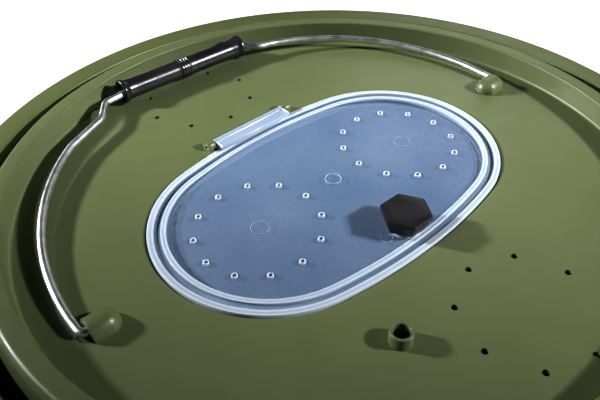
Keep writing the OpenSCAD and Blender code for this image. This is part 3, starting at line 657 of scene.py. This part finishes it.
def makeHatch(s):
    # flange with two beads as rings round the oval, then the membrane on a sphere in to its middle
    inner = s["outerW"] + s["grooveW"]
    plugIn = inner + s["innerW"]
    low, high, soft = -s["sink"], s["bead"] - s["sink"], 0.35
    beads = ovalRings([
        (inner, low - s["flange"]), (0.3, low - s["flange"]), (0, low + 0.3 - s["flange"]), (0, high - soft),
        (0.12, high - 0.1), (soft, high),
        (s["outerW"] / 2, high - 0.12), (s["outerW"] - soft, high), (s["outerW"] - 0.12, high - 0.1),
        (s["outerW"], high - soft), (s["outerW"] + 0.05, low + 0.15),
        (s["outerW"] + 0.3, low), (inner - 0.3, low), (inner - 0.05, low + 0.15), (inner, high - soft),
        (inner + 0.12, high - 0.1), (inner + soft, high),
        (inner + s["innerW"] / 2, high - 0.3), (plugIn - soft, high), (plugIn - 0.12, high - 0.1),
        (plugIn, high - soft)])
    # whiteness per ring, partly from thickness: the rounded top edges of both beads get 1 and their middles
    # less, as painted highlight lines
    thicknessAndHighlight = np.array([0.55, 0.7, 0.8, 0.95, 1, 0.95, 0.62, 0.95, 1, 0.9, 0.3, 0.12, 0.12, 0.3, 0.9, 1, 0.95,
                      0.55, 0.95, 1, 0.8])
    edge = ovalRings([(plugIn, 0)])[0, :, :2]
    share = np.linspace(1, 0.02, 46)[:, None, None]
    flat = edge * share
    crown = membraneTop(s, np.linalg.norm(flat, axis=-1))
    above = np.concatenate([flat, crown[..., None]], -1)
    below = np.concatenate([flat, crown[..., None] - s["membraneT"]], -1)[::-1]
    plugZ = np.minimum(s["plug"], below[-1, :, 2])
    plug = np.stack([np.column_stack([ovalRings([(inset, 0)])[0, :, :2], plugZ]) for inset in (plugIn, inner)])
    plug[1, :, 2] = plugZ
    rings = np.concatenate([below, plug, beads, above])
    thicknessAndHighlight = np.concatenate([np.zeros(len(below)), [0.5, 0.5], thicknessAndHighlight, np.zeros(len(above))])
    thicknessAndHighlight[len(below) - 1] = 0.3
    rings[..., 2] += place["lidZ"]
    points, faces = shell(rings)
    values = np.concatenate([np.repeat(thicknessAndHighlight, rings.shape[1]), [0, 0]])
    piece = makePiece("hatchPanel", (points, faces), "hatch", clear, ("hatch",), 40, values)
    cutters = [shell(lathe([(s["holeD"] / 2, place["lidZ"] - 8), (s["holeD"] / 2, place["lidZ"] + 5)], 16,
                           (x, y, 0))) for x, y in holePlaces(s)]
    cutters.append(shell(lathe([(s["hubBore"], place["lidZ"] - 8), (s["hubBore"], place["lidZ"] + 5)], 48,
                               (place["latchX"], 0, 0))))
    cutHoles(piece, cutters, 40)
    return piece


def makeCollars(s):
    # a small ring stands round each hole: closed profile of (distance, height) round the hole's axis
    skins = []
    for x, y in holePlaces(s):
        z = place["lidZ"] + float(membraneTop(s, math.hypot(x, y)))
        profile = roundPath([(s["holeD"] / 2, -0.5), (s["collarD"] / 2 + 0.1, -0.5),
                             (s["collarD"] / 2 - 0.15, s["collarH"]),
                             (s["holeD"] / 2 + 0.05, s["collarH"]), (s["holeD"] / 2, -0.4)], [0, 0.25, 0.25], 3)
        skins.append(shell(lathe(profile, 20, (x, y, z)), closeRows=True))
    z = place["lidZ"]
    top = float(membraneTop(s, place["latchX"]))
    profile = roundPath([(s["hubBore"], top - 1), (s["hubR"], top - 1), (s["hubR"], s["seat"]),
                         (s["hubBore"], s["seat"]), (s["hubBore"], top)], [0, 0.3, 0.3], 4)
    skins.append(shell(lathe(profile, 48, (place["latchX"], 0, z)), closeRows=True))
    points, faces = join(*skins)
    return makePiece("hatchCollars", (points, faces), "hatch", clear, (), 40,
                     np.full(len(points), 1.0))


def makeMarks(s):
    # mould marks on the membrane: a thicker ring at the middle and three thin ones
    skins = []
    z = place["lidZ"] + float(membraneTop(s, 0))
    skins.append(shell(lathe(arc((3.7, 0.0), 0.34, 0, 360, 10)[:-1], 48, (0, 0, z)), closeRows=True))
    for x, y, r in s["marks"]:
        zr = place["lidZ"] + float(membraneTop(s, math.hypot(x, y)))
        skins.append(shell(lathe(arc((r, 0), 0.16, 0, 360, 8)[:-1], 40, (x, y, zr)), closeRows=True))
    points, faces = join(*skins)
    return makePiece("hatchMarks", (points, faces), "hatch", clear, (), 40,
                     np.full(len(points), 0.4))


def makeHinge(s):
    # knuckle and tab: an outline of (x, z) carried along Y round the pin's bore, with a ridge at each end
    r, hx, hz = s["r"], place["hingeX"], place["hingeZ"]
    web, front = s["webTop"] - hz, s["front"] - hx
    a0 = math.degrees(math.asin(web / r))
    outline = np.vstack([
        arc((0, 0), r, a0, 270, 40),
        roundPath([(0.3, -r), (1.5, -hz), (3.5, -hz), (front, -0.8 - hz), (front, web), (3.6, web)],
                  [0.3, 0.3, 0.2, 0.5], 4)[1:]])
    a = np.arctan2(outline[:, 1], outline[:, 0])
    bore = np.stack([np.cos(a), np.sin(a)], -1) * s["bore"]
    half = s["half"]
    rows = [(outline * 0.95, -half), (outline, 0.4 - half), (outline, half - 0.4), (outline * 0.95, half),
            (bore, half), (bore, -half)]
    points, faces = shell(crossRows(rows) + (hx, 0, hz + place["lidZ"]), closeRows=True)
    values = np.full(len(points), 0.42)
    skins, shares = [(points, faces)], [values]
    for side in (-1, 1):
        section = roundPath([(hx + 1.4, 1.2), (s["front"] - 0.2, 1.2), (s["front"] - 0.2, s["webTop"] + 0.15),
                             (hx + 1.4, s["webTop"] + 0.45), (hx + 1.4, 1.4)],
                            [0.2, 0.4, 0.4], 4)
        ridge = crossRows([(section, side * half), (section, side * (half - 1.1))])
        skins.append(shell(ridge + (0, 0, place["lidZ"])))
        shares.append(np.full(len(skins[-1][0]), 0.95))
    return makePiece("hingeTab", join(*skins), "hatch", clear, (), 40, np.concatenate(shares))


hinge = {"r": 1.9, "bore": 0.86, "half": 22.4, "webTop": 2.0, "front": -55.1}
makeHatch(hatch)
makeCollars(hatch)
makeMarks(hatch)
makeHinge(hinge)
print("hatch made")

# ---- latch ----
latch = {"topR": 11.4, "underR": 10.5, "footR": 9.4, "z": 2.18, "h": 7.4, "topT": 2.4, "turn": 28.0, "hubR": 4.9,
         "drive": 6.0, "camZ": -5.6, "camT": 3.2}


def hexOutline(radius, fillet, turn, steps=5):
    # six corners rounded off, begun at the middle of a side
    a = np.radians(turn + np.arange(7) * 60)
    corners = radius * np.stack([np.cos(a), np.sin(a)], -1)
    start = (corners[0] + corners[5]) / 2
    path = roundPath(np.vstack([start, corners[:6], start]), [fillet] * 6, steps)
    return path[:-1]


def makeKnob(s):
    # rings of a rounded hexagon from the foot up to the top, then the round hub and the square drive below
    low, high = s["z"], s["z"] + s["h"]
    under = high - s["topT"]
    stack = [(s["footR"] - 1.2, low), (s["footR"] - 0.3, low), (s["footR"], low + 0.3),
             (s["underR"], under - 0.2), (s["underR"], under),
             (s["topR"] - 0.25, under + 0.05), (s["topR"], under + 0.3), (s["topR"], high - 0.4),
             (s["topR"] - 0.12, high - 0.12), (s["topR"] - 0.45, high),
             (s["topR"] * 0.6, high - 0.05), (1.5, high - 0.05)]
    rings = np.stack([np.column_stack([hexOutline(r, 0.09 * r, s["turn"]), np.full(37, z)]) for r, z in stack])
    skins = [shell(rings),
             shell(lathe([(0.5, s["camZ"] + 0.1), (s["hubR"], s["camZ"] + 0.1), (s["hubR"], low + 0.5),
                          (0.5, low + 0.5)], 48))]
    half = s["drive"] / 2
    square = roundPath([(0, -half), (half, -half), (half, half), (-half, half), (-half, -half), (0, -half)],
                       [0.4] * 4, 3)[:-1]
    ends = (s["camZ"] - s["camT"] + 0.4, s["camZ"] + 0.5)
    skins.append(shell(np.stack([np.column_stack([square, np.full(len(square), z)]) for z in ends])))
    points, faces = join(*skins)
    return makePiece("latchKnob", (points + (place["latchX"], 0, place["lidZ"]), faces), "latch",
                     knobBlack, ("latch_knob",))


makeKnob(latch)
print("latch made")

# ---- lid bail and grip ----
bail = {"d": 3.7, "tilt": 1.9267, "gripX": 129.3, "shift": 7.1, "skew": 2.5, "nearEnd": 36.0, "farEnd": 30.0,
        "farBow": 5.6, "bend": 2.25, "pin": 8.0}
grip = {"l": 80.0, "d": 10.4, "flareD": 13.0, "flareL": 8.0, "ringD": 11.6, "ringW": 6.0, "hollowD": 8.6,
        "hollowL": 15.0}


def onGrip(s, along, inward):
    # place in the bail's plane at a distance along the grip's axis and another off it, towards the hatch
    a = math.radians(s["skew"])
    x = -s["gripX"] + along * math.sin(a) + inward * math.cos(a)
    return x, s["shift"] + along * math.cos(a) - inward * math.sin(a)


def makeLidBail(s, g):
    # round wire: pin in the near boss, arc, run in through the grip, bowed arc back to the far boss
    r, half = place["arcR"], g["l"] / 2
    straight = half - g["hollowL"] - 3
    aside = min((g["hollowD"] - s["d"]) / 2 - 0.25, 2.2)
    lean = aside / (half - straight - 1.5)
    end = roundPath([(0, place["bossOut"] - s["pin"]), (0, r), (-9, r - 0.35)], [s["bend"]], 8)[:-1]

    def halfArc(stop, bow):
        # radius = circle + bow * one wave over 70 degrees
        a = np.linspace(4, 90 - stop, 60)
        radius = r + bow * np.sin(np.radians((a - 4) * 180 / 70))
        return np.vstack([end,
                          np.column_stack([-radius * np.sin(np.radians(a)), radius * np.cos(np.radians(a))])])

    plain, bowed = halfArc(s["nearEnd"], 0) * (1, -1), halfArc(s["farEnd"], s["farBow"])
    jog = roundPath([plain[-1], onGrip(s, -half - 19.7, 15.7), onGrip(s, -half - 11.5, aside + 11.5 * lean),
                     onGrip(s, -straight - 1.5, 0),
                     onGrip(s, half + 0.4, 0), onGrip(s, half + 8.4, 8), bowed[-1]], [10, 5, 20, 5, 9], 8)
    path = np.vstack([plain[:-1], jog, bowed[-2::-1]])
    rings = turnAboutY(sweep(path, s["d"] / 2), s["tilt"]) + (0, 0, place["lidZ"] + place["pivotZ"])
    return makePiece("lidBail", shell(rings), "lid_bail", zinc, ("lid_bail",), 60)


def makeGrip(s, b):
    # lathe along Y: barrel, fine grooves in the middle ring, flared ends with a hollow, and the wire's bore
    half, barrel, ring = s["l"] / 2, s["d"] / 2, s["ringD"] / 2
    flare, hollow = s["flareD"] / 2, s["hollowD"] / 2
    bore, w = b["d"] / 2 + 0.06, s["ringW"]
    side = [(ring - 0.35, 0.0), (ring - 0.35, 0.06 * w), (ring, 0.1 * w), (ring, 0.2 * w),
            (ring - 0.35, 0.24 * w), (ring - 0.35, 0.34 * w),
            (ring, 0.38 * w), (ring, 0.46 * w), (barrel + 0.1, 0.56 * w), (barrel, 0.8 * w),
            (barrel - 0.15, half * 0.5), (barrel, half - s["flareL"]),
            (barrel + 0.25 * (flare - barrel), half - 0.5 * s["flareL"]), (flare, half - 1.4), (flare, half),
            (hollow + 0.5, half),
            (hollow, half - 1.5), (hollow, half - s["hollowL"]), (bore, half - s["hollowL"] - 2), (bore, 0.5)]
    radii = [0, 0.15, 0.15, 0.15, 0.15, 0.15, 0.3, 0.3, 1, 20, 4, 3, 1.2, 0.6, 0.5, 0.5, 0.8, 0.8]
    profile = roundPath(side, radii, 5)[1:]
    profile = np.vstack([profile, (profile * (1, -1))[::-1]])
    rings = turnAboutZ(alongY(lathe(profile, 72)), -b["skew"]) + (-b["gripX"], b["shift"], 0)
    rings = turnAboutY(rings, b["tilt"]) + (0, 0, place["lidZ"] + place["pivotZ"])
    return makePiece("gripTube", shell(rings, closeRows=True), "lid_grip", gripBlack,
                     ("lid_grip",))


makeLidBail(bail, grip)
makeGrip(grip, bail)
print("bail and grip made")

# ---- CAD pieces that stay, with their finishes ----
keptFinish = {"hinge_pin": steel, "latch_cam": knobBlack, "latch_screw": steel, "latch_washer": steel,
              "latch_spring_washer": steel}
for nodeName, finish in keptFinish.items():
    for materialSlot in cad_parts[nodeName].material_slots:
        materialSlot.material = finish

# ---- floor, light and camera ----
studio = {
    "floorSize": 8.0, "floorGlow": 1.35, "worldStrength": 0.015,
    "leftLight": {"place": (-1.16, -0.89, 0.90), "aim": (-0.05, 0.03), "size": 0.13, "power": 0.86,
                  "spread": 20.0},
    "rightLight": {"place": (1.10, 0.82, 1.11), "aim": (-0.03, 0.04), "size": 0.13, "power": 0.72,
                   "spread": 20.0},
    "backCard": {"place": (-0.68, 1.18, 0.92), "aim": (0.0, 0.0), "size": 0.7, "power": 2.0, "spread": 180.0},
}
camera = {
    "lens": 40.587, "place": (172.12, -175.20, 483.68),
    "forward": (-0.56734, 0.50859, -0.64766), "up": (-0.46719, 0.44887, 0.76174),
}


def makeStudio(s):
    corner = s["floorSize"] / 2
    mesh = bpy.data.meshes.new("floor")
    mesh.from_pydata([(-corner, -corner, 0), (corner, -corner, 0), (corner, corner, 0), (-corner, corner, 0)],
                     [], [(0, 1, 2, 3)])
    floor = bpy.data.objects.new("floor", mesh)
    bpy.context.scene.collection.objects.link(floor)
    material, tree, shader = newMaterial("paleFloor")
    shader.inputs["Base Color"].default_value = (0.9, 0.9, 0.9, 1)
    shader.inputs["Roughness"].default_value = 0.8
    shader.inputs["Emission Color"].default_value = (1, 1, 1, 1)
    shader.inputs["Emission Strength"].default_value = s["floorGlow"]
    mesh.materials.append(material)
    for name in ("leftLight", "rightLight", "backCard"):
        target = Vector((*s[name]["aim"], place["lidZ"] * mm))
        light = bpy.data.lights.new(name, "AREA")
        light.shape, light.size, light.energy = "DISK", s[name]["size"], s[name]["power"]
        light.spread = math.radians(s[name]["spread"])
        lamp = bpy.data.objects.new(name, light)
        lamp.location = s[name]["place"]
        lamp.rotation_euler = (target - lamp.location).to_track_quat("-Z", "Y").to_euler()
        bpy.context.scene.collection.objects.link(lamp)
    world = bpy.data.worlds.new("studio")
    world.use_nodes = True
    tree = world.node_tree
    tree.nodes["Background"].inputs["Color"].default_value = (1, 1, 1, 1)
    # white behind the piece, but almost no light from it
    seen = addNode(tree, "ShaderNodeLightPath").outputs["Is Camera Ray"]
    tree.links.new(ramp(tree, seen, 0, 1, s["worldStrength"], 1.0), tree.nodes["Background"].inputs["Strength"])
    bpy.context.scene.world = world
    bpy.context.scene.view_settings.view_transform = "Standard"
    bpy.context.scene.view_settings.gamma = 0.75      # the photo's steep contrast


def makeCamera(s):
    data = bpy.data.cameras.new("camera")
    data.lens, data.sensor_width, data.clip_start = s["lens"], 36.0, 0.01
    view = bpy.data.objects.new("camera", data)
    forward, up = Vector(s["forward"]).normalized(), Vector(s["up"]).normalized()
    right = forward.cross(up).normalized()
    up = right.cross(forward)
    turn = Matrix((right, up, -forward)).transposed().to_4x4()
    view.matrix_world = Matrix.Translation(Vector(s["place"]) * mm) @ turn
    bpy.context.scene.collection.objects.link(view)
    bpy.context.scene.camera = view


makeStudio(studio)
makeCamera(camera)
print("studio and camera made")
